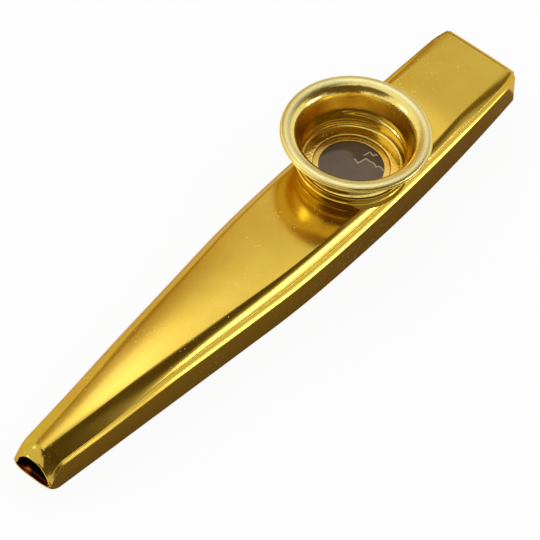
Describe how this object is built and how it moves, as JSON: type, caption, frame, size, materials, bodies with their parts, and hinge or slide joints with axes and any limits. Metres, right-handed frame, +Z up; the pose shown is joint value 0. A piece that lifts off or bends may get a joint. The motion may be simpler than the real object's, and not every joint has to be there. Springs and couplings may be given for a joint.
{
  "type": "kazoo",
  "caption": "Sheet-metal kazoo: a tapered folded tube blown from its wide mouth, with a flared screw cap that holds a buzzing film over a window in the top.",
  "frame": {"origin": "middle of the bounding box, on the floor plane that the flat bottom rests on", "axes": "+X along the tube from the narrow outlet to the wide mouth, +Z up along the screw cap's axis, the tube is the same on both sides of Y = 0"},
  "size_m": [0.12, 0.0264, 0.0208],
  "materials": {
    "body_gold": "gloss gold lacquer on sheet metal",
    "collar_gold": "gloss gold lacquer on sheet metal",
    "cap_gold": "gold, satin on the brim and gloss inside",
    "ring_gold": "gloss gold",
    "gasket": "waxed card",
    "film": "thin wrinkled film, dull with soft highlights"
  },
  "bodies": {
    "tube": {"bottom_shell": "body_gold", "top_shell": "body_gold", "threaded_collar": "collar_gold", "seat_gasket": "gasket", "membrane_film": "film", "membrane_ring": "ring_gold"},
    "turning_washer": {"slip_washer": "gasket"},
    "cap": {"screw_cap": "cap_gold"}
  },
  "joints": [
    {"name": "cap_turn", "type": "hinge", "parent": "tube", "child": "turning_washer", "pos_m": [0.0219, 0, 0.0118], "axis": [0, 0, 1], "range_deg": [0, 330]},
    {"name": "cap_rise", "type": "slide", "parent": "turning_washer", "child": "cap", "axis": [0, 0, 1], "range_m": [0, 0.00183]}
  ],
  "couplings": [
    {"joint": "cap_turn", "follows": "cap_rise", "rad_per_m": 3141.6}
  ]
}
